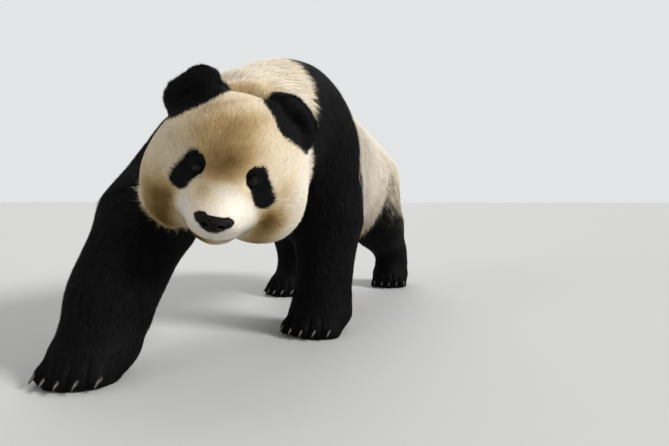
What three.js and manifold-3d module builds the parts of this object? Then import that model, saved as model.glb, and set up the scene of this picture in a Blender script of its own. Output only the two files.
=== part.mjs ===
// A life-size adult giant panda in mid-walk: head low, turned to its left and tilted,
// right foreleg reaching forward. Millimetres. +X is the animal's left, +Y its rump, +Z up,
// with the four soles on Z = 0. Every solid reaches to the tips of the coat.
import * as THREE from "three";
import { mergeVertices } from "three/addons/utils/BufferGeometryUtils.js";
import Module from "manifold-3d";

const wasm = await Module();
wasm.setup();

const { degToRad, clamp, lerp } = THREE.MathUtils;
const at = (x, y, z) => new THREE.Vector3(x, y, z);
const shifted = (x, y, z) => new THREE.Matrix4().makeTranslation(x, y, z);

// ---------------------------------------------------------------- driving dimensions

const WITHERS_HEIGHT = 690;
const BELLY_CLEARANCE = 215;
const SEAM = 0.35; // gap between neighbouring solids

// Sizes of the facets along X, Y and Z. They are longer the way the flesh runs.
const CELLS = {
  trunk: at(74, 116, 74),
  leg: at(44, 52, 48),
  head: at(35, 35, 35),
  muzzle: at(20, 20, 20),
  paw: at(26, 30, 23),
  nose: at(13, 11, 9),
  parting: at(58, 58, 58),
};

const HEAD_CENTRE = at(27, -435, 398);
const HEAD_TURN = degToRad(23); // to the animal's left
const HEAD_NOD = degToRad(22); // nose down
const HEAD_TILT = degToRad(15); // crown towards the animal's left

const NECK_BASE = at(18, -150, 525);
const NECK_END = at(25, -330, 480);

// Joints and paws. A paw's heading turns it about the vertical, toes towards the left.
const FORELEGS = {
  left: {
    shoulder: at(100, -95, 440),
    elbow: at(130, -110, 290),
    wrist: at(131, -155, 120),
    paw: at(126, -165, 0),
    heading: degToRad(-6),
  },
  right: {
    shoulder: at(-156, -240, 456),
    elbow: at(-196, -412, 288),
    wrist: at(-172, -560, 130),
    paw: at(-168, -606, 0),
    heading: degToRad(10),
  },
};
const HINDLEGS = {
  left: {
    hip: at(85, 425, 375),
    knee: at(128, 450, 240),
    hock: at(150, 600, 118),
    paw: at(145, 580, 0),
    heading: degToRad(10),
  },
  right: {
    hip: at(-85, 370, 375),
    knee: at(-140, 300, 250),
    hock: at(-158, 335, 120),
    paw: at(-152, 300, 0),
    heading: degToRad(-8),
  },
};

// ---------------------------------------------------------------- flesh as rounded volumes
// A volume gives the distance from a point to its surface, negative inside.

// An egg: an ellipsoid whose centre and axes are those of a frame.
function egg(centre, radii, blend, frame = new THREE.Matrix4()) {
  const inverse = frame.clone().multiply(new THREE.Matrix4().setPosition(centre)).invert();
  const [rx, ry, rz] = radii;
  const p = new THREE.Vector3();
  const distance = (x, y, z) => {
    p.set(x, y, z).applyMatrix4(inverse);
    const near = Math.hypot(p.x / rx, p.y / ry, p.z / rz);
    const slope = Math.hypot(p.x / rx ** 2, p.y / ry ** 2, p.z / rz ** 2);
    return slope < 1e-9 ? -Math.min(rx, ry, rz) : (near * (near - 1)) / slope;
  };
  return { distance, blend };
}

// A limb: a rounded cone from one centre to another.
function limb(from, to, fromRadius, toRadius, blend) {
  const along = to.clone().sub(from);
  const p = new THREE.Vector3();
  const distance = (x, y, z) => {
    p.set(x - from.x, y - from.y, z - from.z);
    const share = clamp(p.dot(along) / along.lengthSq(), 0, 1);
    return p.addScaledVector(along, -share).length() - lerp(fromRadius, toRadius, share);
  };
  return { distance, blend };
}

// Volumes that run into each other, each with a fillet of about its own blend.
function joined(volumes, blend = 0) {
  const distance = (x, y, z) => {
    let d = volumes[0].distance(x, y, z);
    for (const volume of volumes.slice(1)) {
      const other = volume.distance(x, y, z);
      const overlap = Math.max(volume.blend - Math.abs(d - other), 0) / volume.blend;
      d = Math.min(d, other) - (overlap * overlap * volume.blend) / 4;
    }
    return d;
  };
  return { distance, blend };
}

const grown = (volume, by) => ({ distance: (x, y, z) => volume.distance(x, y, z) - by });

// ---------------------------------------------------------------- trunk, neck and tail

const TRUNK = joined([
  egg(at(4, -60, 440), [188, 235, 214], 60), // ribs
  egg(at(20, -110, WITHERS_HEIGHT - 120), [104, 160, 118], 70), // withers
  egg(at(0, 170, BELLY_CLEARANCE + 205), [196, 290, 205], 80), // belly
  egg(at(0, 415, 408), [182, 210, 188], 70), // rump
]);

const NECK = limb(NECK_BASE, NECK_END, 158, 150, 70);

const TAIL = limb(at(0, 590, 440), at(6, 650, 315), 46, 38, 25);

// ---------------------------------------------------------------- legs

const TOES = 5;
const PAW_SINK = 8; // how far a round paw would reach below the floor that flattens it
const CLAW = { radius: 7, length: 36, bend: degToRad(62), height: 23, flatness: 0.7 };

const pawFrame = ({ paw, heading }) =>
  new THREE.Matrix4().makeRotationZ(heading).setPosition(paw.x, paw.y, -PAW_SINK);

// Where each toe's middle is in its paw's frame, in an arch across the front.
const toePlaces = ({ length, width, toe }) =>
  Array.from({ length: TOES }, (_, i) => {
    const across = (2 * i) / (TOES - 1) - 1;
    return at(across * width * 0.38, -length * (0.42 - 0.12 * across ** 2), toe * 1.2);
  });

function legOf({ upper, lower, size, ...leg }, [top, middle, bottom]) {
  const frame = pawFrame(leg);
  const { length, width, height, toe } = size;
  return {
    ...leg,
    size,
    joints: [top, middle, bottom],
    upper: limb(top, middle, ...upper),
    lower: limb(middle, bottom, ...lower),
    pad: egg(at(0, 0, height / 2), [width / 2, length / 2, height / 2], 40, frame),
    toes: toePlaces(size).map((place) => egg(place, [toe, toe * 1.8, toe * 1.2], 9, frame)),
  };
}

const foreleg = ({ shoulder, elbow, wrist, ...leg }, thickening) =>
  legOf(
    {
      ...leg,
      upper: [112 + thickening, 90 + thickening, 60],
      lower: [86 + thickening, 74 + thickening, 30],
      size: { length: 172, width: 164, height: 104, toe: 18 },
    },
    [shoulder, elbow, wrist],
  );

const hindleg = ({ hip, knee, hock, ...leg }) =>
  legOf(
    {
      ...leg,
      upper: [122, 92, 70],
      lower: [84, 62, 35],
      size: { length: 204, width: 142, height: 96, toe: 16 },
    },
    [hip, knee, hock],
  );

const BENT = 14; // how much thicker the bent foreleg's muscle and fur stand than the straight one's
const LEGS = {
  foreleg_left: foreleg(FORELEGS.left, 0),
  foreleg_right: foreleg(FORELEGS.right, BENT),
  hindleg_left: hindleg(HINDLEGS.left),
  hindleg_right: hindleg(HINDLEGS.right),
};

// ---------------------------------------------------------------- head
// In its own frame the nose looks along -Y and the crown along +Z.

const headFrame = new THREE.Matrix4()
  .makeTranslation(HEAD_CENTRE)
  .multiply(new THREE.Matrix4().makeRotationZ(HEAD_TURN))
  .multiply(new THREE.Matrix4().makeRotationX(HEAD_NOD))
  .multiply(new THREE.Matrix4().makeRotationY(HEAD_TILT));

const HEAD = joined([
  egg(at(0, 5, 18), [148, 140, 136], 40, headFrame), // braincase
  egg(at(75, -2, -50), [98, 100, 100], 50, headFrame), // cheeks
  egg(at(-75, -2, -50), [98, 100, 100], 50, headFrame),
  egg(at(0, -56, 46), [86, 80, 76], 50, headFrame), // forehead
  egg(at(0, -122, -46), [62, 72, 46], 36, headFrame), // muzzle
  egg(at(0, -104, -84), [44, 62, 28], 22, headFrame), // lower jaw
]);

const EYE = { x: 50, z: 28, radius: 12, depth: 4, opening: [17, 10, 13] };
const MUZZLE = { z: -62, root: -112, reach: 150, radius: 76 };
const NOSE = { z: -43, depth: 7 };
const EAR = {
  centre: at(96, 24, 116),
  radii: [74, 27, 58],
  root: 26, // from the centre down to the flat root
  lean: degToRad(38), // outwards
  face: degToRad(12), // turn of its front to the side
  hollow: { centre: at(0, -40, 8), radii: [50, 30, 38] },
};

// How far forward the head's surface is at a place on the face.
function faceAt(x, z) {
  const point = at(0, 0, 0);
  const inside = (y) => HEAD.distance(...point.set(x, y, z).applyMatrix4(headFrame)) < 0;
  let y = -300;
  while (!inside(y)) y++;
  return y;
}

// ---------------------------------------------------------------- surfaces

const BODY_BOX = new THREE.Box3(at(-420, -850, -90), at(420, 850, 850));

// A grid cell's eight corners, its edges as pairs of corners, and each face's four edges.
const CORNERS = Array.from({ length: 8 }, (_, c) => at(c & 1, (c >> 1) & 1, c >> 2));
const EDGES = CORNERS.flatMap((_, c) => [1, 2, 4].filter((bit) => !(c & bit)).map((bit) => [c, c | bit]));
const FACES = [1, 2, 4].flatMap((bit) =>
  [0, bit].map((side) => EDGES.flatMap(([a, b], e) => ((a & bit) === side && (b & bit) === side ? e : []))),
);

// For each edge of a cell that the surface crosses, the number of the sheet that crosses it.
// Where two sheets pass one face, each keeps to its own corner inside the flesh.
function sheetsOf(inside) {
  const sheets = EDGES.map(([a, b], e) => (inside[a] === inside[b] ? -1 : e));
  const innerEnd = (e) => EDGES[e].find((corner) => inside[corner]);
  for (const face of FACES) {
    const crossed = face.filter((e) => sheets[e] >= 0);
    for (const e of crossed)
      for (const f of crossed)
        if (crossed.length === 2 || innerEnd(e) === innerEnd(f)) {
          const [kept, dropped] = [sheets[e], sheets[f]];
          sheets.forEach((sheet, g) => sheet === dropped && (sheets[g] = kept));
        }
  }
  return sheets;
}

// The surface where a volume's distance is zero. A grid is laid over the box, each cell gets
// one point per sheet of surface in it, and each grid edge that a sheet crosses two triangles.
function surfaceOf({ distance }, box, cell) {
  const [nx, ny, nz] = box.getSize(at(0, 0, 0)).divide(cell).ceil().toArray().map((n) => n + 1);
  const index = (i, j, k) => i + nx * (j + ny * k);
  const values = new Float32Array(nx * ny * nz);
  for (let k = 0; k < nz; k++)
    for (let j = 0; j < ny; j++)
      for (let i = 0; i < nx; i++)
        values[index(i, j, k)] = distance(
          box.min.x + i * cell.x,
          box.min.y + j * cell.y,
          box.min.z + k * cell.z,
        );

  const pointOf = new Map();
  const points = [];
  for (let k = 0; k < nz - 1; k++)
    for (let j = 0; j < ny - 1; j++)
      for (let i = 0; i < nx - 1; i++) {
        const here = CORNERS.map((corner) => values[index(i + corner.x, j + corner.y, k + corner.z)]);
        const sheets = sheetsOf(here.map((value) => value < 0));
        for (const sheet of new Set(sheets.filter((number) => number >= 0))) {
          const edges = EDGES.filter((_, e) => sheets[e] === sheet);
          const middle = edges.reduce(
            (sum, [a, b]) => sum.add(CORNERS[a].clone().lerp(CORNERS[b], here[a] / (here[a] - here[b]))),
            at(0, 0, 0),
          );
          middle.divideScalar(edges.length).add(at(i, j, k)).multiply(cell).add(box.min);
          for (const [a, b] of edges) pointOf.set(`${index(i, j, k)} ${a} ${b}`, points.length);
          points.push(settled(middle, distance));
        }
      }

  const triangles = [];
  for (let k = 1; k < nz - 1; k++)
    for (let j = 1; j < ny - 1; j++)
      for (let i = 1; i < nx - 1; i++)
        for (const [bit, u, v] of [[1, 2, 4], [2, 4, 1], [4, 1, 2]]) {
          const end = CORNERS[bit];
          const inside = values[index(i, j, k)] < 0;
          if (inside === values[index(i + end.x, j + end.y, k + end.z)] < 0) continue;
          const around = [0, u, u | v, v].map((corner) => {
            const back = CORNERS[corner];
            return pointOf.get(`${index(i - back.x, j - back.y, k - back.z)} ${corner} ${corner | bit}`);
          });
          const [a, b, c, d] = inside ? around : around.reverse();
          const short = points[a].distanceTo(points[c]) < points[b].distanceTo(points[d]);
          triangles.push(...(short ? [a, b, c, a, c, d] : [a, b, d, b, c, d]));
        }
  return new THREE.BufferGeometry().setFromPoints(points).setIndex(triangles);
}

// A point moved onto the surface along the distance's slope.
function settled(point, distance) {
  const reach = 2;
  for (let pass = 0; pass < 3; pass++) {
    const { x, y, z } = point;
    const slope = at(
      distance(x + reach, y, z) - distance(x - reach, y, z),
      distance(x, y + reach, z) - distance(x, y - reach, z),
      distance(x, y, z + reach) - distance(x, y, z - reach),
    ).divideScalar(2 * reach);
    point.addScaledVector(slope, -distance(x, y, z) / Math.max(slope.lengthSq(), 0.1));
  }
  return point;
}

// ---------------------------------------------------------------- solids

function solidOf(geometry, frame = new THREE.Matrix4()) {
  const bare = new THREE.BufferGeometry();
  const flat = geometry.index ? geometry.toNonIndexed() : geometry;
  bare.setAttribute("position", flat.getAttribute("position").clone());
  const merged = mergeVertices(bare.applyMatrix4(frame), 1e-3);
  return new wasm.Manifold(
    new wasm.Mesh({
      numProp: 3,
      vertProperties: merged.getAttribute("position").array,
      triVerts: new Uint32Array(merged.index.array),
    }),
  );
}

function geometryOf(solid) {
  const mesh = solid.getMesh();
  const geometry = new THREE.BufferGeometry();
  geometry.setAttribute("position", new THREE.BufferAttribute(mesh.vertProperties, 3));
  geometry.setIndex(new THREE.BufferAttribute(mesh.triVerts, 1));
  geometry.computeVertexNormals();
  return geometry;
}

// A closed surface with every point moved outwards.
function swollen(geometry, by) {
  const swelling = geometry.clone();
  swelling.computeVertexNormals();
  const position = swelling.getAttribute("position");
  const normal = swelling.getAttribute("normal");
  for (let i = 0; i < position.count; i++) {
    const outward = at(0, 0, 0).fromBufferAttribute(normal, i);
    const moved = at(0, 0, 0).fromBufferAttribute(position, i).addScaledVector(outward, by);
    position.setXYZ(i, moved.x, moved.y, moved.z);
  }
  return swelling;
}

const largest = (solid) =>
  solid.decompose().reduce((most, piece) => (piece.volume() > most.volume() ? piece : most));

// ---------------------------------------------------------------- parting the body

const HEAD_CREASE = 12; // fillet where the head rests against the neck
const HEAD_MARGIN = 9; // how far past that crease the head is parted from the neck
const ANKLE = 88; // height of the cut above each paw
const THIGH = { share: 0.45, inner: 50, outer: 320, radius: 168 }; // round cut on the flank
const SHANK = { radius: 140, overrun: 140 };
const TAIL_CUT = { from: at(0, 575, 500), to: at(10, 705, 230), radius: 72 };
const NECK_CUT = { from: at(14, -215, 470), to: at(25, -560, 430), radius: 260 };
const SPINE = { front: at(0, -400, 430), middle: at(0, 60, 430), end: at(0, 900, 430), radius: 500 };

// The body at each facet size, with the legs and toes only where they are needed.
const legs = Object.values(LEGS);
const torso = [TRUNK, NECK, TAIL, ...legs.map((leg) => leg.upper)];
const standing = [...torso, ...legs.flatMap((leg) => [leg.lower, leg.pad])];
const toed = [...standing, ...legs.flatMap((leg) => leg.toes)];
const DETAILS = { trunk: torso, head: torso, muzzle: torso, leg: standing, paw: toed };

const floor = solidOf(new THREE.BoxGeometry(1000, 2000, 200), shifted(0, 0, -100));
const wholes = {};
for (const [detail, volumes] of Object.entries(DETAILS)) {
  const body = joined([joined(volumes), { ...HEAD, blend: HEAD_CREASE }]);
  wholes[detail] = largest(solidOf(surfaceOf(body, BODY_BOX, CELLS[detail])).subtract(floor));
}

// A round straight region with flat ends, `gap` larger on every side.
const PRISM_SIDES = 14;
function prism(from, to, radius, gap) {
  const along = to.clone().sub(from);
  const turn = new THREE.Quaternion().setFromUnitVectors(at(0, 1, 0), along.clone().normalize());
  const wide = radius + gap;
  const geometry = new THREE.CylinderGeometry(wide, wide, along.length() + 2 * gap, PRISM_SIDES);
  return geometry.applyQuaternion(turn).translate(...from.clone().lerp(to, 0.5));
}

const nodes = {};
const taken = []; // the regions of the parts so far, each a seam wider

// Names what the body has inside a region, with facets of one of the sizes.
function take(name, region, detail) {
  const left = taken.reduce((rest, other) => rest.subtract(other), wholes[detail]);
  nodes[name] = largest(left.intersect(solidOf(region(0))));
  taken.push(solidOf(region(SEAM)));
}

const beyond = (from, to, by) => to.clone().sub(from).setLength(by).add(to);

const headRegion = surfaceOf(grown(HEAD, HEAD_MARGIN), BODY_BOX, CELLS.parting);
const muzzleRoot = at(0, MUZZLE.root, MUZZLE.z).applyMatrix4(headFrame);
const muzzleTip = at(0, MUZZLE.root - MUZZLE.reach, MUZZLE.z).applyMatrix4(headFrame);
take("muzzle", (gap) => prism(muzzleRoot, muzzleTip, MUZZLE.radius, gap), "muzzle");
take("head", (gap) => swollen(headRegion, gap), "head");
for (const [name, { joints, paw, size }] of Object.entries(LEGS)) {
  const [top, middle, bottom] = joints;
  const side = Math.sign(paw.x);
  const inner = top.clone().lerp(middle, THIGH.share).setX(side * THIGH.inner);
  const outer = inner.clone().setX(side * THIGH.outer);
  const end = beyond(middle, bottom, SHANK.overrun);
  const [below, above] = [-ANKLE, ANKLE].map((z) => paw.clone().setZ(z));
  take(`${name}_paw`, (gap) => prism(below, above, size.width, gap), "paw");
  take(`${name}_lower`, (gap) => prism(end, middle, SHANK.radius, gap), "leg");
  take(`${name}_upper`, (gap) => prism(inner, outer, THIGH.radius, gap), "leg");
}
take("tail", (gap) => prism(TAIL_CUT.from, TAIL_CUT.to, TAIL_CUT.radius, gap), "head");
take("neck", (gap) => prism(NECK_CUT.from, NECK_CUT.to, NECK_CUT.radius, gap), "trunk");
take("chest", (gap) => prism(SPINE.front, SPINE.middle, SPINE.radius, gap), "trunk");
take("trunk", (gap) => prism(SPINE.middle, SPINE.end, SPINE.radius, gap), "trunk");

// ---------------------------------------------------------------- eyes, ears and nose

// Sets a solid into the parts that hold it, with a seam around it.
function inset(name, hosts, shape, frame) {
  nodes[name] = solidOf(shape(0), frame);
  for (const host of hosts) nodes[host] = largest(nodes[host].subtract(solidOf(shape(SEAM), frame)));
}

const ball = (radii, gap, around, down) =>
  new THREE.SphereGeometry(1, around, down).scale(...radii.map((radius) => radius + gap));

// An ear is a round disc with a flat root.
function earOf(gap) {
  const disc = ball(EAR.radii, gap, 12, 6);
  const position = disc.getAttribute("position");
  const root = -EAR.root - gap;
  for (let i = 0; i < position.count; i++) position.setZ(i, Math.max(position.getZ(i), root));
  return disc;
}

const onHead = (x, y, z) => headFrame.clone().multiply(shifted(x, y, z));

for (const [side, sign] of [["left", 1], ["right", -1]]) {
  const x = sign * EYE.x;
  const front = faceAt(x, EYE.z);
  const opening = solidOf(ball(EYE.opening, 0, 8, 5), onHead(x, front, EYE.z));
  nodes.head = nodes.head.subtract(opening);
  const eyeball = (gap) => ball(Array(3).fill(EYE.radius), gap, 10, 6);
  inset("eye_" + side, ["head"], eyeball, onHead(x, front + EYE.depth + EYE.radius, EYE.z));

  const name = "ear_" + side;
  const ear = onHead(sign * EAR.centre.x, EAR.centre.y, EAR.centre.z)
    .multiply(new THREE.Matrix4().makeRotationY(sign * EAR.lean))
    .multiply(new THREE.Matrix4().makeRotationZ(sign * EAR.face));
  inset(name, ["head", "neck"], earOf, ear);
  const { centre, radii } = EAR.hollow;
  const hollow = solidOf(ball(radii, 0, 9, 5), ear.clone().multiply(shifted(...centre)));
  nodes[name] = nodes[name].subtract(hollow);
}

// The nose pad: a rounded middle between two wings.
const nosePad = surfaceOf(
  joined([
    egg(at(0, 0, -2), [22, 17, 16], 6),
    egg(at(20, 4, 5), [18, 14, 11], 8),
    egg(at(-20, 4, 5), [18, 14, 11], 8),
  ]),
  new THREE.Box3(at(-50, -34, -34), at(50, 34, 34)),
  CELLS.nose,
);
const noseFrame = onHead(0, faceAt(0, NOSE.z) + NOSE.depth, NOSE.z);
inset("nose", ["muzzle"], (gap) => swollen(nosePad, gap), noseFrame);

// ---------------------------------------------------------------- claws

// A cone bent down along an arc, from its root at the origin to a tip ahead and below.
function claw(gap) {
  const { radius, length, bend, flatness } = CLAW;
  const cone = new THREE.ConeGeometry(radius + gap, length + 2 * gap, 5, 2);
  const position = cone.getAttribute("position");
  const arc = length / bend;
  for (let i = 0; i < position.count; i++) {
    const angle = (position.getY(i) / length + 0.5) * bend;
    const reach = arc + position.getZ(i);
    const [ahead, up] = [reach * Math.sin(angle), reach * Math.cos(angle) - arc];
    position.setXYZ(i, -position.getX(i) * flatness, -ahead, up);
  }
  return cone;
}

for (const [name, leg] of Object.entries(LEGS))
  toePlaces(leg.size).forEach((place, i) => {
    const root = at(place.x, place.y - leg.size.toe * 1.1, CLAW.height + PAW_SINK);
    const frame = pawFrame(leg).multiply(shifted(...root));
    inset(`${name}_claw_${i + 1}`, [`${name}_paw`], claw, frame);
  });

// ---------------------------------------------------------------- finishes and export

const FINISHES = {
  white_fur: { color: 0xe4dac4, roughness: 0.95 },
  black_fur: { color: 0x17161a, roughness: 0.9 },
  nose_leather: { color: 0x1f1c1e, roughness: 0.55 },
  eye_gloss: { color: 0x1c1210, roughness: 0.08 },
  claw_horn: { color: 0x3b342d, roughness: 0.5 },
};

function finishOf(name) {
  if (name.startsWith("eye")) return "eye_gloss";
  if (name.includes("claw")) return "claw_horn";
  if (name === "nose") return "nose_leather";
  return ["head", "muzzle", "neck", "trunk", "tail"].includes(name) ? "white_fur" : "black_fur";
}

const panda = new THREE.Group();
panda.name = "giant_panda";
for (const [name, solid] of Object.entries(nodes)) {
  const material = new THREE.MeshStandardMaterial({ ...FINISHES[finishOf(name)], metalness: 0 });
  const mesh = new THREE.Mesh(geometryOf(solid), material);
  mesh.name = name;
  panda.add(mesh);
}

// The origin goes to the middle of the footprint, on the floor.
const middle = new THREE.Box3().setFromObject(panda).getCenter(at(0, 0, 0));
panda.children.forEach((mesh) => mesh.geometry.translate(-middle.x, -middle.y, 0));

export default panda;
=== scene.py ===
# A life-size giant panda, dressed: hide, eyes, nose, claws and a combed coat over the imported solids.
# Metres. +X is the animal's left, +Y its rump, +Z up, with the soles on Z = 0.
import math

import bmesh
import bpy
import numpy as np
from mathutils import Matrix, Vector
from mathutils.bvhtree import BVHTree
from mathutils.kdtree import KDTree


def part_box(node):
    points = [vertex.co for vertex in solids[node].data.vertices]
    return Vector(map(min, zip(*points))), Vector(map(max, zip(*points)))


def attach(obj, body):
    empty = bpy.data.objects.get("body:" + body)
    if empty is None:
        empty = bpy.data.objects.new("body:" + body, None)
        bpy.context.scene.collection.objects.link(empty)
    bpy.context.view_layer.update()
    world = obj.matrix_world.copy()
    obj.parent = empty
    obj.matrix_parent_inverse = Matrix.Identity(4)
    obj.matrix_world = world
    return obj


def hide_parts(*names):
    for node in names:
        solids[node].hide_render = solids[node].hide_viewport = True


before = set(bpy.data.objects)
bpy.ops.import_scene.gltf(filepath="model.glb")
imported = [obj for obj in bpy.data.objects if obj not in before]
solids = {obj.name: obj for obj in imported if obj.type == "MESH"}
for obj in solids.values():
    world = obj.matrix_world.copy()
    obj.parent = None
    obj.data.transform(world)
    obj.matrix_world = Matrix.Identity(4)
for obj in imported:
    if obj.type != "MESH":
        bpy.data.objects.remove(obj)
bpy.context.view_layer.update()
rng = np.random.default_rng(7)

# ---- hide
# The hide is one closed skin from the lips to the tail, with no seam anywhere. It is the solids melted
# into one, evened out, and sunk by the depth of the coat. Lids, lips, folds and toes are shaped in it.

MM = 0.001


def mm(*numbers):
    """A place or a size given in millimetres."""
    return np.array(numbers) * MM


VOXEL = 6.8 * MM
WELD = 0.01 * MM
SEAM_BRIDGE = 0.6 * MM  # the solids stand a little less than this apart, and swell by it to become one
EVENING_ROUNDS = 200

body = [name for name in solids if "claw" not in name]

# For each kind of part, in millimetres: the depth of its coat, and how far the facets of its solid are
# evened out. The head's depth is set further on, as it changes over the face.
PARTS = {
    "eye": (0, 5), "nose": (3.5, 5), "muzzle": (3.5, 6), "head": (0, 11), "ear": (10, 7),
    "neck": (15, 34), "chest": (16, 38), "trunk": (17, 42), "tail": (18, 20),
    "upper": (17, 26), "lower": (14, 22), "paw": (7, 7),
}
kinds = list(PARTS)
kind_of_node = np.array([next(i for i, kind in enumerate(kinds) if kind in name) for name in body])


def of_kind(which, *names):
    """Where an array of kinds is one of these."""
    return np.isin(which, [kinds.index(name) for name in names])


def merged(names):
    """Solids copied into one bmesh, with the corners of their loose triangles welded."""
    bm = bmesh.new()
    for name in names:
        bm.from_mesh(solids[name].data)
    bmesh.ops.remove_doubles(bm, verts=bm.verts, dist=WELD)
    return bm


def placed(name, data):
    """A new object for a mesh, a light or a camera."""
    thing = bpy.data.objects.new(name, data)
    bpy.context.scene.collection.objects.link(thing)
    return thing


def shown(name, bm):
    """A new object that holds the bmesh."""
    mesh = bpy.data.meshes.new(name)
    bm.to_mesh(mesh)
    bm.free()
    return placed(name, mesh)


def reshape(thing, kind, **settings):
    """Applies one modifier, so that the finished mesh is the object's own."""
    modifier = thing.modifiers.new(kind, kind)
    for name, value in settings.items():
        setattr(modifier, name, value)
    view = bpy.context.evaluated_depsgraph_get()
    mesh = bpy.data.meshes.new_from_object(thing.evaluated_get(view))
    thing.modifiers.clear()
    thing.data = mesh


def numbers(items, field, width=3, kind=np.float32):
    """One field of a mesh's points, edges or faces as an array."""
    found = np.empty(len(items) * width, kind)
    items.foreach_get(field, found)
    found = found.astype(float) if kind is np.float32 else found
    return found.reshape(-1, width) if width > 1 else found


def ramp(low, high, values):
    """0 below low, 1 above high, with a soft rise between. low may be the larger of the two."""
    share = np.clip((values - low) / (high - low), 0, 1)
    return share * share * (3 - 2 * share)


def ramp_mm(low, high, values):
    """The same between two numbers of millimetres."""
    return ramp(low * MM, high * MM, values)


def bell(values, half):
    """1 at 0, falling off softly on both sides, to about a third where the values reach half."""
    return np.exp(-((values / half) ** 2))


def size(vectors):
    """The length of each vector."""
    return np.linalg.norm(vectors, axis=1)


def unit(vectors):
    """The same directions with a length of 1."""
    return vectors / np.maximum(np.linalg.norm(vectors, axis=-1, keepdims=True), 1e-12)


class Sheet:
    """A mesh as arrays: its points, outward normals, and pairs of neighbouring points."""

    def __init__(self, mesh):
        self.mesh = mesh
        self.at = numbers(mesh.vertices, "co")
        self.out = numbers(mesh.vertices, "normal")
        self.pairs = numbers(mesh.edges, "vertices", 2, np.int32)
        self.near = np.maximum(np.bincount(self.pairs.ravel(), minlength=len(self.at)), 1)

    def spread(self, values, rounds, share=0.5):
        """Evens values out between neighbours. share is how far each goes to their mean."""
        first, second = self.pairs.T
        flat = np.array(values, float).reshape(len(self.at), -1)
        for _ in range(rounds):
            for column in flat.T:
                total = np.bincount(first, column[second], len(flat))
                total += np.bincount(second, column[first], len(flat))
                column += share * (total / self.near - column)
        return flat.reshape(np.shape(values))

    def move(self, places):
        """Puts every point in its new place."""
        self.mesh.vertices.foreach_set("co", places.astype(np.float32).ravel())
        self.mesh.update()
        self.at = places
        self.out = numbers(self.mesh.vertices, "normal")

    def sink(self, depth):
        """Moves every point inwards by its own depth."""
        self.move(self.at - self.out * depth[:, None])


# The nearest solid to a point, looked up on all their triangles at once.
corners = np.concatenate([numbers(solids[name].data.vertices, "co") for name in body])
corner_order, node_of_triangle, offset = [], [], 0
for index, name in enumerate(body):
    mesh = solids[name].data
    corner_order.append(numbers(mesh.loops, "vertex_index", 1, np.int32) + offset)
    node_of_triangle += [index] * len(mesh.polygons)
    offset += len(mesh.vertices)
triangles = np.concatenate(corner_order).reshape(-1, 3)
outside = BVHTree.FromPolygons(corners.tolist(), triangles.tolist())


def node_near(points):
    """For each point, the place in body of the solid that it is nearest to."""
    return np.array([node_of_triangle[outside.find_nearest(point)[2]] for point in points.tolist()])



def turn_by(degrees, axis):
    return Matrix.Rotation(math.radians(degrees), 3, axis)


# The head's own frame: the nose looks along -Y and the crown along +Z.
HEAD_TURN, HEAD_NOD, HEAD_TILT = 23, 22, 15  # degrees
EYES_FROM_HEAD = mm(0, -118.5, 28)
head_axes = turn_by(HEAD_TURN, "Z") @ turn_by(HEAD_NOD, "X") @ turn_by(HEAD_TILT, "Y")
HEAD_AXES = np.array(head_axes)


def middle(name):
    """The middle of a node's box."""
    return np.array(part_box(name)).mean(0)


head_middle = (middle("eye_left") + middle("eye_right")) / 2 - HEAD_AXES @ EYES_FROM_HEAD


def in_head(points):
    return (points - head_middle) @ HEAD_AXES


def from_head(points):
    return points @ HEAD_AXES.T + head_middle


SIGN = {"left": 1, "right": -1}
eye_places = {side: in_head(middle("eye_" + side)) for side in SIGN}

# The face has the shortest fur, round the root of the muzzle. It lengthens towards the cheeks and crown.
FACE_CENTRE, FACE_REACH = mm(0, -135, 0), (35 * MM, 125 * MM)
FACE_DEPTH, CHEEK_DEPTH = 4.2, 7  # millimetres of coat in the middle of the face, and how many more beyond it


def face_share(local):
    """0 on the bridge of the nose, 1 on the cheeks and the crown."""
    return ramp(*FACE_REACH, size(local - FACE_CENTRE))


SOLE_FADE = (1 * MM, 14 * MM)  # the coat thins out between these heights, towards the soles

bm = merged(body)
for corner in bm.verts:
    corner.co += corner.normal * SEAM_BRIDGE
hide = shown("hide", bm)
reshape(hide, "REMESH", mode="VOXEL", voxel_size=VOXEL)
sheet = Sheet(hide.data)

which = kind_of_node[node_near(sheet.at)]
coat_depth, evening = (np.array(column)[which] * MM for column in zip(*PARTS.values()))
face = face_share(in_head(sheet.at))
coat_depth = np.where(of_kind(which, "head", "eye"), (FACE_DEPTH + CHEEK_DEPTH * face) * MM, coat_depth)
coat_depth *= ramp(*SOLE_FADE, sheet.at[:, 2]) * 0.94 + 0.06
coat_depth = sheet.spread(coat_depth, 8)
share = sheet.spread(2 * (evening / VOXEL) ** 2 / EVENING_ROUNDS, 6)
even = sheet.spread(sheet.at, EVENING_ROUNDS, share)
before = sheet.at
sheet.move(even)
sunk = sheet.spread(((before - even) * sheet.out).sum(1), EVENING_ROUNDS, share)
sheet.move(even + sheet.out * (sunk - coat_depth)[:, None])
sheet.move(sheet.spread(sheet.at, 4))


def nearest_on(*names):
    """The solids of these nodes, for the places on them nearest to a point."""
    chosen = np.isin(node_of_triangle, [body.index(name) for name in names])
    return BVHTree.FromPolygons(corners.tolist(), triangles[chosen].tolist())


def outside_of(tree, points):
    """How far points are outside the solids of a tree. It is below 0 inside them."""
    found = [tree.find_nearest(point) for point in points.tolist()]
    away = points - np.array([hit[0] for hit in found])
    return size(away) * np.sign((away * np.array([hit[1] for hit in found])).sum(1))


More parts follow.
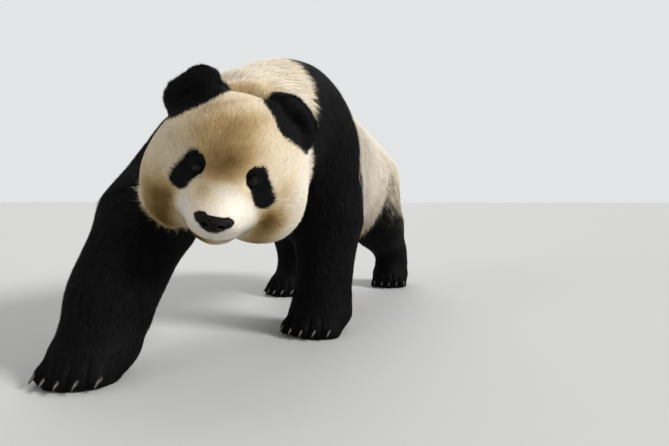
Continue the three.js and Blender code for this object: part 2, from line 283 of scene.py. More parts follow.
# Where the cheek lies against the right foreleg the hide folds in between them.
FOLD_REACH, FOLD_DEEPEST = 45 * MM, 24 * MM
HEAD_REACH = 230 * MM  # the whole head is within this
head_alone = nearest_on("head")
leg_alone = nearest_on("foreleg_right_upper", "foreleg_right_lower")
near_cheek = np.flatnonzero(size(in_head(sheet.at)) < HEAD_REACH)
from_cheek, from_leg = (outside_of(tree, sheet.at[near_cheek]) for tree in (head_alone, leg_alone))
from_neck = outside_of(nearest_on("neck"), sheet.at[near_cheek])
here = ramp(FOLD_REACH, 0.4 * FOLD_REACH, np.maximum(from_cheek, from_leg))
here *= ramp(0, 20 * MM, from_neck)
fold = np.zeros(len(sheet.at))
between = np.minimum(from_cheek, from_leg) + 0.7 * coat_depth[near_cheek]
fold[near_cheek] = here * np.clip(between, 0, FOLD_DEEPEST)
sheet.sink(sheet.spread(fold, 2))


def refine(thing, wanted):
    """Quarters the faces that have a point where wanted says so, and rounds off what is new."""
    bm = bmesh.new()
    bm.from_mesh(thing.data)
    bm.verts.ensure_lookup_table()
    near = wanted(numbers(thing.data.vertices, "co"))
    faces = [face for face in bm.faces if any(near[corner.index] for corner in face.verts)]
    edges = list({edge for face in faces for edge in face.edges})
    bmesh.ops.subdivide_edges(bm, edges=edges, cuts=1, use_grid_fill=True)
    bmesh.ops.triangulate(bm, faces=[face for face in bm.faces if len(face.verts) > 4])
    near = wanted(np.array([corner.co for corner in bm.verts]))
    for _ in range(3):
        chosen = [corner for corner, here in zip(bm.verts, near) if here]
        bmesh.ops.smooth_vert(bm, verts=chosen, factor=0.5, use_axis_x=True, use_axis_y=True, use_axis_z=True)
    bm.to_mesh(thing.data)
    bm.free()


# The face is finer than the body: the lids, the lips and the seat of the nose are finer still.
nose_place = in_head(middle("nose"))
EYE_RADIUS = (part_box("eye_left")[1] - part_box("eye_left")[0]).z / 2
MOUTH_Z, MOUTH_RISE, MOUTH_HALF = -82.4 * MM, 5 * MM, 46 * MM


def mouth_height(local):
    """How far a point is above the line of the lips, which rises a little towards its corners."""
    return local[:, 2] - MOUTH_Z - MOUTH_RISE * (local[:, 0] / MOUTH_HALF) ** 2


def near_eyes(local, reach):
    return np.any([size(local - place) < reach for place in eye_places.values()], axis=0)


def near_lips(local, reach):
    sides = np.abs(local[:, 0]) < MOUTH_HALF + reach
    return (np.abs(mouth_height(local)) < reach) & sides & (local[:, 1] < -90 * MM)


# The furred toes stand apart, and reach out over the roots of the claws. Clefts run back between them.
LEGS = ("foreleg_left", "foreleg_right", "hindleg_left", "hindleg_right")
CLEFT_DEPTH, CLEFT_HALF, CLEFT_LENGTH = 7 * MM, 4.5 * MM, 34 * MM


def clefts(points):
    """1 in the clefts between the toes, and 0 on the toes and everywhere else."""
    share = np.zeros(len(points))
    for leg in LEGS:
        claws = [middle(f"{leg}_claw_{number}") for number in range(1, 6)]
        for first, second in zip(claws, claws[1:]):
            between = (first + second) / 2
            back = unit((middle(leg + "_paw") - between) * (1, 1, 0))
            offset = points - between
            across, behind = offset @ np.array([-back[1], back[0], 0]), offset @ back
            along = ramp(CLEFT_LENGTH, CLEFT_LENGTH / 3, behind) * (behind > -CLEFT_LENGTH)
            low = offset[:, 2] < CLEFT_LENGTH
            share = np.maximum(share, along * bell(across, CLEFT_HALF) * low)
    return share


refine(hide, lambda points: (size(in_head(points) - FACE_CENTRE) < 100 * MM) | (clefts(points) > 0.05))
refine(hide, lambda points: near_eyes(in_head(points), 30 * MM) | near_lips(in_head(points), 9 * MM))
refine(hide, lambda points: near_eyes(in_head(points), 18 * MM))

TOE_HALF, CLAW_SUNK = 19 * MM, 0.3
LOWEST = 0.2 * MM  # the hide stays this far above the floor
sheet = Sheet(hide.data)
for leg in LEGS:
    for number in range(1, 6):
        horn_points = numbers(solids[f"{leg}_claw_{number}"].data.vertices, "co")
        root = horn_points[np.argmin(size(horn_points - middle(leg + "_paw")))]
        root += CLAW_SUNK * (horn_points.mean(0) - root)
        nearest = np.argmin(size(sheet.at - root))
        pull = root - sheet.at[nearest]
        near_toe = bell(size(sheet.at - sheet.at[nearest]), TOE_HALF)
        if pull @ sheet.out[nearest] > 0:
            sheet.move(sheet.at + near_toe[:, None] * pull)
places = sheet.at - sheet.out * (CLEFT_DEPTH * clefts(sheet.at))[:, None]
places[:, 2] = np.maximum(places[:, 2], LOWEST)
sheet.move(places)

# Lids lie on the eyeball round an opening that slants down to its outer corner.
LID = 0.5 * MM
LID_OPENING = mm(8.2, 6.3)  # half its length and height
LID_EDGE = 0.72  # points from this share of the opening outwards are drawn to its edge
LID_REACH = (19 * MM, 9 * MM)  # the lids lie on the ball within the second, and leave it towards the first
LID_TURN = np.array(Matrix.Rotation(math.radians(-14), 2))


def eye_frame(local, side):
    """Across the opening to its outer corner, and up, from the middle of an eye."""
    place = eye_places[side]
    out = (local[:, 0] - place[0]) * SIGN[side]
    up = local[:, 2] - place[2]
    return np.stack([out, up], 1) @ LID_TURN


def set_lids(local, side):
    """Lays the hide round an eye on its ball, and opens it between the lids."""
    place = eye_places[side]
    spot = eye_frame(local, side)
    opening = size(spot / LID_OPENING)
    rim = (opening > LID_EDGE) & (opening < 1)
    spot = np.where(rim[:, None], spot / opening[:, None], spot)
    out, up = (spot @ LID_TURN.T).T
    away = np.hypot(out, up)
    over = EYE_RADIUS + LID
    ball = place[1] - np.sqrt(np.maximum(over**2 - away**2, (0.4 * over) ** 2))
    share = ramp(*LID_REACH, away)
    depth = local[:, 1] + share * (ball - local[:, 1])
    depth = np.where(opening <= LID_EDGE, place[1], depth)
    here = (local[:, 1] < place[1] + 6 * MM) & (away < 27 * MM)
    new = np.stack([place[0] + SIGN[side] * out, depth, place[2] + up], 1)
    return np.where(here[:, None], new, local)


sheet = Sheet(hide.data)
local = in_head(sheet.at)
for side in eye_places:
    local = set_lids(local, side)
sheet.move(from_head(local))

# The nose pad sits in a pit, deep enough for its nostrils.
NOSE_PIT = 6 * MM
by_nose = np.flatnonzero(size(local - nose_place) < 60 * MM)
from_pad = np.full(len(local), 1.0)
from_pad[by_nose] = outside_of(nearest_on("nose"), sheet.at[by_nose])
sheet.sink(NOSE_PIT * ramp_mm(-1.8, -3, from_pad))

# The lips meet in a crease under the muzzle, with a furrow up to the nose.
LIP_CREASE, LIP_CREASE_HALF = 4.6 * MM, 1.9 * MM
LIP_RISE, LIP_RISE_HALF, LIP_ABOVE = 1.4 * MM, 3.5 * MM, 5.5 * MM
FURROW, FURROW_HALF = 1.8 * MM, 1.5 * MM
height = mouth_height(local)
across, back, up = local.T
ahead = ramp_mm(-92, -112, back) * ramp(MOUTH_HALF + 6 * MM, MOUTH_HALF - 8 * MM, np.abs(across))
crease = LIP_CREASE * bell(height, LIP_CREASE_HALF) * ahead
lip = LIP_RISE * bell(height - LIP_ABOVE, LIP_RISE_HALF) * ahead
furrow = FURROW * bell(across, FURROW_HALF) * ramp_mm(-86, -80, up) * ramp_mm(-50, -62, up) * ahead
sheet.sink(crease + furrow - lip)

# Behind the crown the loose skin of the neck folds over in one deep crease, from ear to ear.
CROWN_CREASE = mm(4, 24, 150)
CROWN_CREASE_HALF = 70 * MM
CREASE_DEPTH, CREASE_HALF, CREASE_BOW = 20 * MM, 7 * MM, 14 * MM
ROLL, ROLL_HALF, ROLL_BEHIND = 7 * MM, 14 * MM, 24 * MM
local = in_head(sheet.at)
across = np.abs(local[:, 0] - CROWN_CREASE[0]) / CROWN_CREASE_HALF
behind = local[:, 1] - CROWN_CREASE[1] + CREASE_BOW * across**2
on_top = ramp(1.15, 0.75, across) * ramp_mm(80, 115, local[:, 2])
roll = ROLL * bell(behind - ROLL_BEHIND, ROLL_HALF)
sheet.sink(on_top * (CREASE_DEPTH * bell(behind, CREASE_HALF) - roll))
before_crease = on_top * ramp_mm(-34, -8, behind) * (behind < CREASE_HALF)

# The ears are blunt, the right one nearly square at its inner corner. Below them the head is a little hollow.
EAR_AT, EAR_HALF, EAR_LEAN = mm(96, 24, 116), mm(74, 27, 58), 38
EAR_CORNER, EAR_LOWERED = {1: 3 * MM, -1: 17 * MM}, 5 * MM
HOLLOW_AT, HOLLOW_HALF, HOLLOW_DEPTH = mm(80, -45, 118), 40 * MM, 9 * MM


def ear_axes(sign):
    return np.array(turn_by(sign * EAR_LEAN, "Y"))


def in_ear(local, sign):
    """Across an ear away from the crown, back through it, and up it, from its middle."""
    return (local - EAR_AT * (sign, 1, 1)) @ ear_axes(sign) * (sign, 1, 1)


local = in_head(sheet.at)
is_ear = of_kind(kind_of_node[node_near(sheet.at)], "ear")
for sign in (1, -1):
    spot = in_ear(local, sign) / EAR_HALF
    corner = np.clip(-2 * spot[:, 0] * spot[:, 2] * (spot[:, 2] > 0), 0, 1)
    corner *= ramp(1.5, 1.1, np.abs(spot[:, 1]))
    corner *= ramp(0.35, 0.8, np.hypot(spot[:, 0], spot[:, 2])) * is_ear
    away = unit(spot * (1, 0, 1)) * (EAR_CORNER[sign] * corner)[:, None]
    away[:, 2] -= EAR_LOWERED * ramp(0.2, 0.9, spot[:, 2]) * is_ear
    local = local + (away * (sign, 1, 1)) @ ear_axes(sign).T
sheet.move(from_head(local))
hollow = sum(bell(size(local - HOLLOW_AT * (sign, 1, 1)), HOLLOW_HALF) for sign in (1, -1))
sheet.sink(HOLLOW_DEPTH * hollow * ~is_ear)

# The markings: white over the head, neck, back, flanks and tail; black on the ears, round the eyes,
# over the shoulders like a yoke, and down all four legs. Old fur is stained on brow, cheeks and belly.
# Painted shade goes into the same stain: in the crease behind the crown, under the chin and beside the bridge
# of the nose.
BAND_FRONT_TOP, BAND_FRONT_SLOPE = -0.189, 0.71  # where the yoke begins on the spine, and its slant
BAND_REAR, ELBOW_REACH, ELBOW_TURN = -0.088, 0.10, (0.42, 0.27)  # and where it ends, with the elbow's reach
RIGHT_LEAD = 0.09  # the right shoulder is this far ahead of the left one
THROAT_LEAD, THROAT_TURN = 0.06, (0.53, 0.45)  # and the yoke comes this much further forward below the jaw
THROAT_FADE = (0.39, 0.36)  # heights between which the throat turns black
SPINE_X, RIGHT_FLANK_X = 0.04, -0.20
WITHERS_Z = 0.69
BAND_EDGE = 9 * MM
THIGH_MIDDLE, THIGH_DROP = 0.334, 0.58  # how high the hind legs turn black, and less so to the rear
THIGH_AHEAD, THIGH_RANGE = 0.0775, (0.272, 0.36)  # where that slant begins, and how far it goes
THIGH_ABOVE, THIGH_BELOW = 0.09, 0.07  # how far that fade reaches
THIGH_GREY, GREY_ABOVE = 0.46, (0.14, 0.05)  # and the grey over it
THIGH_FRONT = (-0.086, -0.114)  # ahead of this they are as white as the flank
THIGH_FOOT = (0.015, 0.045)  # down to this height above the foot of the thigh
BELLY_FADE = (0.235, 0.20)  # and where the belly beside them turns black
THIGH_HALF = (0.135, 0.095)  # and how far that reaches round the legs
PATCH_TOP, PATCH_FOOT, PATCH_HALF = mm(51, 38), mm(73.5, -6), 17.5 * MM
BROW_FOOT, BROW_HEIGHT = 26 * MM, 84 * MM
# Two spots beside the ears where the fur is darker and browner: their middles, reach and strength.
SPOTS_BY_EARS = ((mm(44, -56, 137), 15 * MM, 0.35), (mm(112, -95, 16), 17 * MM, 0.45))
EAR_BASE_AHEAD, EAR_BASE_BEHIND = mm(72, 74, 62), mm(60, 34, 60)


def along_leg(points, leg):
    """How far points are from the line down the middle of a leg's thigh and shin."""
    top, bottom = middle(leg + "_upper"), middle(leg + "_lower")
    line = unit(bottom - top)
    offset = points - top
    return size(offset - (offset @ line)[:, None] * line)


def brow_stain(local):
    """The tan wedge that opens upwards from between the eyes, more to the left than to the right."""
    x, y, z = local.T
    above = (z - BROW_FOOT) / BROW_HEIGHT
    half = np.maximum(38 * MM + 34 * MM * above, 22 * MM)
    across = (x + 14 * MM - 14 * MM * above) / half
    along = ramp(-0.45, 0.25, above) * (0.42 + 0.58 * ramp(1.25, 0.35, above))
    return bell(across, 1) * along * ramp(1.75, 1.0, above) * ramp_mm(-30, -60, y)


def eye_patch(local, sign):
    """1 inside the black patch round an eye: a short band with round ends that slants out to the cheek."""
    spot = local[:, [0, 2]] * (sign, 1) - PATCH_TOP
    band = PATCH_FOOT - PATCH_TOP
    along = np.clip(spot @ band / (band @ band), 0, 1)
    away = size(spot - along[:, None] * band)
    return ramp(PATCH_HALF + 1.5 * MM, PATCH_HALF - 1.5 * MM, away) * (local[:, 1] < -60 * MM)


def ear_base(local, sign):
    """1 where black fur runs from the root of an ear onto the head."""
    spot = in_ear(local, sign)
    half = np.where(spot[:, 1:2] < 0, EAR_BASE_AHEAD, EAR_BASE_BEHIND)
    return ramp(1.06, 0.97, size(spot / half))


def markings(points, which, node):
    """How black the fur rooted at each point is, and how stained, with some painted shade in that stain."""

    def part(*names):
        return of_kind(which, *names)

    local = in_head(points)
    across, back, up = local.T
    x, y, z = points.T
    right = ramp(SPINE_X, RIGHT_FLANK_X, x)
    front = BAND_FRONT_TOP - BAND_FRONT_SLOPE * (WITHERS_Z - z) - RIGHT_LEAD * right
    front -= THROAT_LEAD * ramp(*THROAT_TURN, z)
    rear = BAND_REAR - RIGHT_LEAD * right + ELBOW_REACH * ramp(*ELBOW_TURN, z) * (1 - 0.8 * right)
    names = np.array(body)[node]
    behind_front = ramp(-BAND_EDGE, BAND_EDGE, y - front)
    behind_front = np.where(np.char.startswith(names, "foreleg"), 1, behind_front)
    dark = behind_front * ramp(BAND_EDGE, -BAND_EDGE, y - rear)
    shin = np.zeros(len(points), bool)
    for leg, sign in (("hindleg_left", 1), ("hindleg_right", -1)):
        reach = ramp(*THIGH_HALF, along_leg(points, leg)) * (y > 0.15)
        dark = np.maximum(dark, ramp(*BELLY_FADE, z) * reach)
        thigh_x, thigh_y, _ = middle(leg + "_upper")
        half_black = np.clip(THIGH_MIDDLE - THIGH_DROP * (y - thigh_y + THIGH_AHEAD), *THIGH_RANGE)
        fade = ramp(half_black + THIGH_ABOVE, half_black - THIGH_BELOW, z)
        fade = np.maximum(fade, THIGH_GREY * ramp(*GREY_ABOVE, z - half_black))
        flank = ramp(*THIGH_FRONT, y - thigh_y + 0.6 * sign * (x - thigh_x))
        flank *= ramp(*THIGH_FOOT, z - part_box(leg + "_upper")[0].z)
        dark = np.where(names == leg + "_upper", fade * (1 - flank), dark)
        dark = np.where(names == leg + "_lower", fade, dark)
        shin |= names == leg + "_lower"
    dark = np.where(part("neck"), np.maximum(dark, ramp(*THROAT_FADE, z)), dark)
    dark = np.where(part("head", "muzzle", "eye", "nose"), 0, dark)
    patches = np.maximum(eye_patch(local, 1), eye_patch(local, -1))
    dark = np.where(part("head", "muzzle", "eye"), np.maximum(dark, patches), dark)
    bases = np.maximum(ear_base(local, 1), ear_base(local, -1)) * part("head", "neck")
    dark = np.where(part("lower", "paw", "ear") & ~shin, 1, np.maximum(dark, bases))

    side_of_face = np.abs(across) - 96 * MM
    left = ramp_mm(-20, 20, across)
    reach = np.where(side_of_face < 0, 29 * MM, np.where(across > 0, 18 * MM, 46 * MM))
    cheek = bell(side_of_face, reach) * ramp_mm(-4, -48, up)
    cheek *= 1 - left * ramp_mm(-52, -76, up) * ramp_mm(84, 104, across)
    rim = ramp_mm(106, 128, across)
    # The right side of the bridge of the nose is stained, and painted darker there as painted shade.
    bridge = 0.50 * bell(across + 27 * MM, 23 * MM) * ramp_mm(-40, -8, up)
    stain = 0.32 + 0.62 * brow_stain(local) + (0.74 + 0.12 * (across > 0)) * cheek - 0.24 * rim
    for spot, half, strength in SPOTS_BY_EARS:
        stain += strength * bell(size(local - spot), half)
    # The chin is stained, and painted darker still as painted shade on its underside, most on its right.
    chin = (0.95 - 0.75 * left) * ramp_mm(-72, -83, up)
    stain = np.where(part("muzzle", "nose"), 0.02 + bridge + chin, stain)
    behind_ears = 0.2 * ramp_mm(70, 25, back) * (up > 0)
    stain = np.where(part("neck"), 0.24 + behind_ears, stain)
    belly = ramp(0.30, 0.22, z) * (y > -0.1)
    body_stain = 0.13 + 0.30 * belly + 0.15 * np.sin(math.pi * np.clip(dark, 0, 1)) * (y > 0.15)
    return dark, np.where(part("trunk", "chest", "tail", "upper", "lower"), body_stain, stain)


sheet = Sheet(hide.data)
node = node_near(sheet.at)
which = kind_of_node[node]
dark, stain = markings(sheet.at, which, node)
stain = sheet.spread(stain, 22)
# Painted shade: the fur in the crease behind the crown, and just behind it, is made darker and browner to
# stand for the shade there.
stain += on_top * (0.5 * bell(behind, 7 * MM) + 0.2 * bell(behind - 12 * MM, 9 * MM))

# No fur grows in the openings of the eyes, under the nose pad, between the lips or under the soles.
BARE_RIM = 0.4 * MM  # of skin round the opening between the lids
local = in_head(sheet.at)
bare = np.zeros(len(sheet.at))
for side, place in eye_places.items():
    opening = size(eye_frame(local, side) / (LID_OPENING + BARE_RIM))
    bare = np.maximum(bare, ramp(1.05, 0.98, opening) * (local[:, 1] < place[1] + 12 * MM))
lips = ramp_mm(3.2, 1.8, np.abs(mouth_height(local))) * (local[:, 1] < -104 * MM)
lips *= ramp(MOUTH_HALF + 4 * MM, MOUTH_HALF, np.abs(local[:, 0]))
soles = ramp_mm(8, 4, sheet.at[:, 2]) * (sheet.out[:, 2] < -0.5)
bare = np.maximum.reduce([bare, lips, ramp_mm(-0.6, -1.8, from_pad), soles])


def keep(mesh, name, values, kind="FLOAT", field="value"):
    """Stores one value for each point of the mesh, for its material to read."""
    mesh.attributes.new(name, kind, "POINT").data.foreach_set(field, values.astype(np.float32).ravel())


# The hide takes the colour of the tufts' roots, so it carries their painted shade too.
zero = np.zeros(len(dark))
for field, values in {"dark": dark, "stain": stain, "bare": bare, "tint": zero + 0.5, "along": zero}.items():
    keep(hide.data, field, values)


def link(value, socket):
    """Joins what a node gives to an input of another."""
    socket.id_data.links.new(value, socket)


def add(tree, kind, inputs=(), **settings):
    """A new shader node with its settings, and its inputs linked or set by their names or numbers."""
    made = tree.nodes.new("ShaderNode" + kind)
    for name, value in settings.items():
        setattr(made, name, value)
    for name, value in dict(inputs).items():
        if isinstance(value, bpy.types.NodeSocket):
            link(value, made.inputs[name])
        else:
            made.inputs[name].default_value = value
    return made


def sum_of(operation, *values, clamp=False):
    """One step of arithmetic on numbers, in the tree that the first comes from."""
    tree = values[0].id_data
    return add(tree, "Math", enumerate(values), operation=operation, use_clamp=clamp).outputs[0]


def vector_sum_of(operation, *values):
    """One step of arithmetic on vectors."""
    made = add(values[0].id_data, "VectorMath", enumerate(values), operation=operation)
    return made.outputs["Value" if operation == "LENGTH" else "Vector"]


def mixed(tree, share, first, second, mode="MIX"):
    """The first colour where share is 0 and the second where it is 1."""
    inputs = {0: share, 6: first, 7: second}
    return add(tree, "Mix", inputs, data_type="RGBA", blend_type=mode).outputs[2]


def rise(value, low, high):
    """0 where the value is low and 1 where it is high, softly."""
    inputs = {"Value": value, "From Min": low, "From Max": high}
    return add(value.id_data, "MapRange", inputs, interpolation_type="SMOOTHSTEP").outputs["Result"]


def stored(tree, name):
    """What each point of the mesh keeps under this name."""
    return add(tree, "Attribute", attribute_name=name).outputs["Fac"]


def place_on_body(tree):
    """Where a point is on the animal."""
    return add(tree, "TexCoord").outputs["Object"]


def noise(place, scale, detail):
    """Soft random values about 0.5. The larger the scale, the finer they are."""
    inputs = {"Vector": place, "Scale": scale, "Detail": detail}
    return add(place.id_data, "TexNoise", inputs).outputs["Fac"]


def embossed(surface, height, strength, distance, **settings):
    """Lets a finish look raised where height is high."""
    inputs = {"Height": height, "Strength": strength, "Distance": distance}
    bump = add(height.id_data, "Bump", inputs, **settings)
    link(bump.outputs["Normal"], surface["Normal"])


WHITE, CREAM = (0.88, 0.81, 0.70, 1), (0.80, 0.66, 0.46, 1)
OCHRE, TAN = (0.50, 0.34, 0.155, 1), (0.175, 0.098, 0.027, 1)
BLACK, BLACK_TIP = (0.0018, 0.0018, 0.0021, 1), (0.007, 0.0068, 0.0076, 1)
CREAM_STAIN, OCHRE_STAIN = 0.35, 0.67  # stained this much, white fur is cream or ochre

KEPT = ("Dark", "Stain", "Tint", "Along")  # what the points of hide and tufts keep for their colour
tree = fur_colour = bpy.data.node_groups.new("fur colour", "ShaderNodeTree")
for label in KEPT:
    tree.interface.new_socket(label, in_out="INPUT", socket_type="NodeSocketFloat")
tree.interface.new_socket("Color", in_out="OUTPUT", socket_type="NodeSocketColor")
taken, given = tree.nodes.new("NodeGroupInput").outputs, tree.nodes.new("NodeGroupOutput").inputs
mottle, cloud = noise(place_on_body(tree), 24.0, 3.0), noise(place_on_body(tree), 6.0, 2.0)
# The stain with its painted shade, mottled at random, turns white fur cream, then ochre, then tan.
stain_and_shade_level = sum_of("MULTIPLY_ADD", mottle, 0.34, -0.17)
stain_and_shade_level = sum_of("ADD", stain_and_shade_level, sum_of("MULTIPLY_ADD", cloud, 0.30, -0.15))
stain_and_shade_level = sum_of("MULTIPLY", stain_and_shade_level, sum_of("ADD", taken["Stain"], 0.45))
stain_and_shade_level = sum_of("ADD", stain_and_shade_level, taken["Stain"], clamp=True)
pale = mixed(tree, sum_of("MULTIPLY", stain_and_shade_level, 1 / CREAM_STAIN, clamp=True), WHITE, CREAM)
for colour, low, high in ((OCHRE, CREAM_STAIN, OCHRE_STAIN), (TAN, OCHRE_STAIN, 1)):
    tanned = sum_of("SUBTRACT", stain_and_shade_level, low)
    pale = mixed(tree, sum_of("MULTIPLY", tanned, 1 / (high - low), clamp=True), pale, colour)
# Every tuft is painted darker towards its root, and the hide as dark as the roots, as painted shade deep in
# the coat. Its tint makes each a little lighter or darker at random.
light = sum_of("MULTIPLY_ADD", taken["Along"], 0.18, 0.82)
light = sum_of("MULTIPLY", light, sum_of("MULTIPLY_ADD", taken["Tint"], 0.30, 0.85))
light = add(tree, "CombineColor", {0: light, 1: light, 2: light}).outputs[0]
pale = mixed(tree, 1.0, pale, light, "MULTIPLY")
# Black fur is painted darkest at its root in the same way, as painted shade, and lighter towards the tip as
# far as its tint allows.
black = mixed(tree, sum_of("MULTIPLY", taken["Along"], taken["Tint"]), BLACK, BLACK_TIP)
link(mixed(tree, taken["Dark"], pale, black), given["Color"])


def fur_colour_in(tree):
    """The fur's colour in a material, from what each point of the mesh keeps."""
    kept = {name: stored(tree, name.lower()) for name in KEPT}
    return add(tree, "Group", kept, node_tree=fur_colour).outputs["Color"]


def new_material(name, **values):
    """A material, its node tree and its Principled BSDF, with these constants on the shader."""
    made = bpy.data.materials.new(name)
    made.use_nodes = True
    surface = made.node_tree.nodes["Principled BSDF"]
    for label, value in values.items():
        surface.inputs[label.replace("_", " ")].default_value = value
    return made, made.node_tree, surface.inputs


SKIN = (0.004, 0.0036, 0.0036, 1)
hide_finish, tree, surface = new_material("hide", Specular_IOR_Level=0.3)
bare_skin = stored(tree, "bare")
link(mixed(tree, bare_skin, fur_colour_in(tree), SKIN), surface["Base Color"])
link(sum_of("MULTIPLY_ADD", bare_skin, -0.55, 0.85), surface["Roughness"])
embossed(surface, noise(place_on_body(tree), 420.0, 4.0), 0.5, 0.8 * MM)  # its pores

hide.data.materials.append(hide_finish)
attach(hide, "root")
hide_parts(*[name for name in body if not name.startswith(("eye", "nose"))])


# ---- eyes
# Each eye is a wet ball with a clear bulge in front of a dark brown iris and an upright slit pupil.
# Only the part between the lids shows. It looks ahead and a little outwards.

GAZE_OUT = 10  # degrees
CORNEA_HALF, CORNEA_RISE = math.radians(40), 0.8 * MM
IRIS, IRIS_RIM, PUPIL = (0.014, 0.007, 0.004, 1), (0.003, 0.002, 0.0015, 1), (0.001, 0.001, 0.001, 1)
EYE_WHITE = (0.012, 0.008, 0.007, 1)
PUPIL_HALF = (0.085, 0.14)  # its half width and height, in widths of the eyeball
BALL_PLAY = 0.2 * MM  # between the ball and the lids

eye_finish, tree, surface = new_material(
    "wet eye", Roughness=0.5, Specular_IOR_Level=0.0, Coat_Weight=0.6, Coat_Roughness=0.03, Coat_IOR=1.38
)
gaze = add(tree, "UVMap", uv_map="gaze").outputs["UV"]
offset = vector_sum_of("ADD", gaze, (-0.5, -0.5, 0))
away = vector_sum_of("LENGTH", offset)
slit = vector_sum_of("MULTIPLY", offset, (1 / PUPIL_HALF[0], 1 / PUPIL_HALF[1], 0))
slit = vector_sum_of("LENGTH", slit)
spokes = noise(vector_sum_of("NORMALIZE", offset), 9.0, 2.0)
iris = mixed(tree, rise(spokes, 0.35, 0.7), IRIS_RIM, IRIS)
iris = mixed(tree, rise(away, 0.22, 0.30), iris, IRIS_RIM)
iris = mixed(tree, rise(slit, 1.08, 0.92), iris, PUPIL)
link(mixed(tree, rise(away, 0.31, 0.37), iris, EYE_WHITE), surface["Base Color"])

for side, sign in SIGN.items():
    bm = bmesh.new()
    radius = EYE_RADIUS - BALL_PLAY
    bmesh.ops.create_uvsphere(bm, u_segments=48, v_segments=32, radius=radius)
    for corner in bm.verts:
        turned = corner.co.angle(Vector((0, 0, 1)))
        if turned < CORNEA_HALF:
            corner.co *= 1 + CORNEA_RISE / radius * math.cos(turned / CORNEA_HALF * math.pi / 2) ** 2
    gaze_layer = bm.loops.layers.uv.new("gaze")
    for face in bm.faces:
        face.smooth = True
        for loop in face.loops:
            loop[gaze_layer].uv = loop.vert.co.xy / (2 * radius) + Vector((0.5, 0.5))
    turn = head_axes @ turn_by(sign * GAZE_OUT, "Z") @ turn_by(90, "X")
    bmesh.ops.transform(bm, matrix=Matrix.Translation(middle("eye_" + side)) @ turn.to_4x4(), verts=bm.verts)
    bmesh.ops.recalc_face_normals(bm, faces=bm.faces)
    eyeball = shown("eyeball_" + side, bm)
    eyeball.data.materials.append(eye_finish)
    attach(eyeball, "root")
    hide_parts("eye_" + side)

# ---- nose
# The nose pad is bare pebbled leather, wide and blunt, with a comma of a nostril on each side and a
# groove down its middle that runs on to the lips.

NOSE_VOXEL = 1.1 * MM
NOSTRIL_AT, NOSTRIL_HALF = mm(14.5, -2), mm(5.6, 3.0)
NOSTRIL_DEPTH, NOSTRIL_RIM = 7 * MM, 1.1 * MM
SLIT_DEPTH, SLIT_HALF, SLIT_SLOPE = 2.4 * MM, 1.7 * MM, 0.2  # the tail of the comma
GROOVE, GROOVE_HALF = 1.5 * MM, 1.2 * MM

nose_pad = shown("nose_pad", merged(["nose"]))
reshape(nose_pad, "REMESH", mode="VOXEL", voxel_size=NOSE_VOXEL)
pad = Sheet(nose_pad.data)
pad.move(pad.spread(pad.at, 10))
local = in_head(pad.at) - nose_place
side = np.abs(local[:, 0])
front = ramp_mm(2, -6, local[:, 1])
spot = (np.stack([side, local[:, 2]], 1) - NOSTRIL_AT) / NOSTRIL_HALF
nostril = np.exp(-((spot**2).sum(1) ** 1.5)) * NOSTRIL_DEPTH
slit_z = NOSTRIL_AT[1] - 1 * MM - SLIT_SLOPE * (side - NOSTRIL_AT[0])
slit = SLIT_DEPTH * bell(local[:, 2] - slit_z, SLIT_HALF)
slit *= ramp_mm(13, 17, side) * ramp_mm(31, 25, side)
rim = NOSTRIL_RIM * np.exp(-((size(spot) - 1.7) ** 2) / 0.3)
groove = GROOVE * bell(side, GROOVE_HALF) * ramp_mm(1, -4, local[:, 2])
pad.sink((nostril + slit + groove - rim) * front)
nose_pad.data.shade_smooth()
# Deep in the nostrils the leather is painted darker, as painted shade.
keep(nose_pad.data, "inside", ramp_mm(1.2, 4, (nostril + slit) * front))

NOSE_DARK, NOSE_PALE = (0.0012, 0.0011, 0.0011, 1), (0.0055, 0.0042, 0.0036, 1)
NOSTRIL_SHADE = (0.0008, 0.0007, 0.0007, 1)
leather, tree, surface = new_material("nose leather", Specular_IOR_Level=0.13)
pebbles = {"Vector": place_on_body(tree), "Scale": 620.0}
pebbles = add(tree, "TexVoronoi", pebbles, feature="SMOOTH_F1").outputs["Distance"]
cloud = noise(place_on_body(tree), 90.0, 3.0)
colour = mixed(tree, rise(cloud, 0.4, 0.75), NOSE_DARK, NOSE_PALE)
link(mixed(tree, stored(tree, "inside"), colour, NOSTRIL_SHADE), surface["Base Color"])
link(sum_of("MULTIPLY_ADD", cloud, 0.30, 0.34), surface["Roughness"])
embossed(surface, pebbles, 0.55, 0.5 * MM, invert=True)
nose_pad.data.materials.append(leather)
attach(nose_pad, "root")
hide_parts("nose")

# ---- claws
# Five blunt curved claws of horn on each foot grow out of the fur of the toes. Each is its solid, swollen
# a little and rounded off, and streaked along its length.

CLAW_SWELL = 0.5 * MM  # makes up for what the rounding takes off
HORN_DARK, HORN_PALE = (0.016, 0.012, 0.010, 1), (0.065, 0.048, 0.035, 1)

horn, tree, surface = new_material("horn", Coat_Weight=0.15, Coat_Roughness=0.25)
streaks = noise(vector_sum_of("MULTIPLY", place_on_body(tree), (420, 60, 260)), 1.0, 4.0)
link(mixed(tree, rise(streaks, 0.35, 0.7), HORN_DARK, HORN_PALE), surface["Base Color"])
link(sum_of("MULTIPLY_ADD", streaks, 0.3, 0.25), surface["Roughness"])
embossed(surface, streaks, 0.4, 0.4 * MM)

for leg in LEGS:
    for number in range(1, 6):
        node_name = f"{leg}_claw_{number}"
        bm = merged([node_name])
        bmesh.ops.dissolve_limit(bm, angle_limit=math.radians(1), verts=bm.verts, edges=bm.edges)
        for corner in bm.verts:
            corner.co += corner.normal * CLAW_SWELL
        claw = shown(f"{leg}_horn_{number}", bm)
        reshape(claw, "SUBSURF", levels=3, render_levels=3)
        claw.data.shade_smooth()
        claw.data.materials.append(horn)
        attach(claw, "root")
        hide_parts(node_name)

